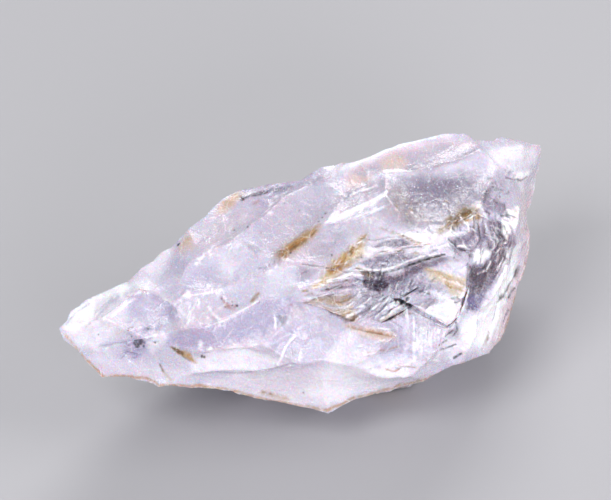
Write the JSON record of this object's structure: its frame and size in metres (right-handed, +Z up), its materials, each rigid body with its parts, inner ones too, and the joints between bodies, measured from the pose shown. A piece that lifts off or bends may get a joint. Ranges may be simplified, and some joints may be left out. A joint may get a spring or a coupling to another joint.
{
  "type": "rough amethyst fragment",
  "caption": "Broken rough piece of pale lilac banded amethyst quartz with conchoidal facets, a dark clear window, fine open cracks and brown iron stains.",
  "frame": {"origin": "bottom centre of the stone's box, on the plane of the flat facet that it rests on", "axes": "+Z up as the stone lies at rest; +X along its longest extent, to its broad end; -Y towards the broad sloping face that the picture shows"},
  "size_m": [0.0402, 0.0262, 0.0185],
  "materials": {
    "amethyst": "fresh broken quartz, glassy to waxy, cloudy and translucent, with a clearer violet part"
  },
  "bodies": {
    "root": {"amethyst_fragment": "amethyst"}
  },
  "joints": []
}
